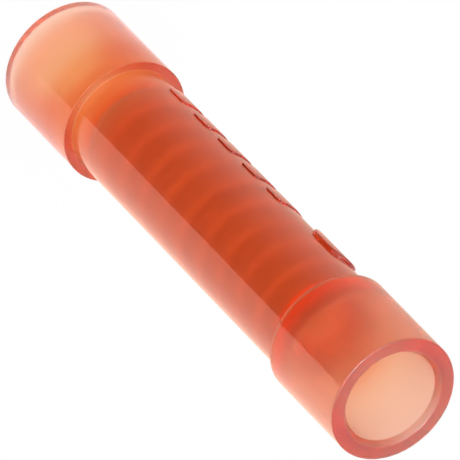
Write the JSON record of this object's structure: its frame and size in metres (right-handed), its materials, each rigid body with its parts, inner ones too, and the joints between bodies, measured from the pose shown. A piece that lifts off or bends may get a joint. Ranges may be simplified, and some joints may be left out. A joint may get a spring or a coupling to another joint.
{
  "type": "butt splice connector",
  "caption": "Straight butt splice connector: a clear red nylon sleeve, flared to a bell at each end, over a metal crimp barrel that joins wires end to end.",
  "frame": {"origin": "middle of the bottom end face, on the wire axis", "axes": "+Z along the wire axis from the bottom bell to the top bell, -X towards the raised marks"},
  "size_m": [0.0054, 0.0054, 0.0264],
  "materials": {
    "red_nylon": "clear glossy moulded nylon, red-orange tint",
    "tinned_metal": "tin-plated copper, satin"
  },
  "bodies": {
    "root": {"insulating_sleeve": "red_nylon", "crimp_barrel": "tinned_metal"}
  },
  "joints": []
}
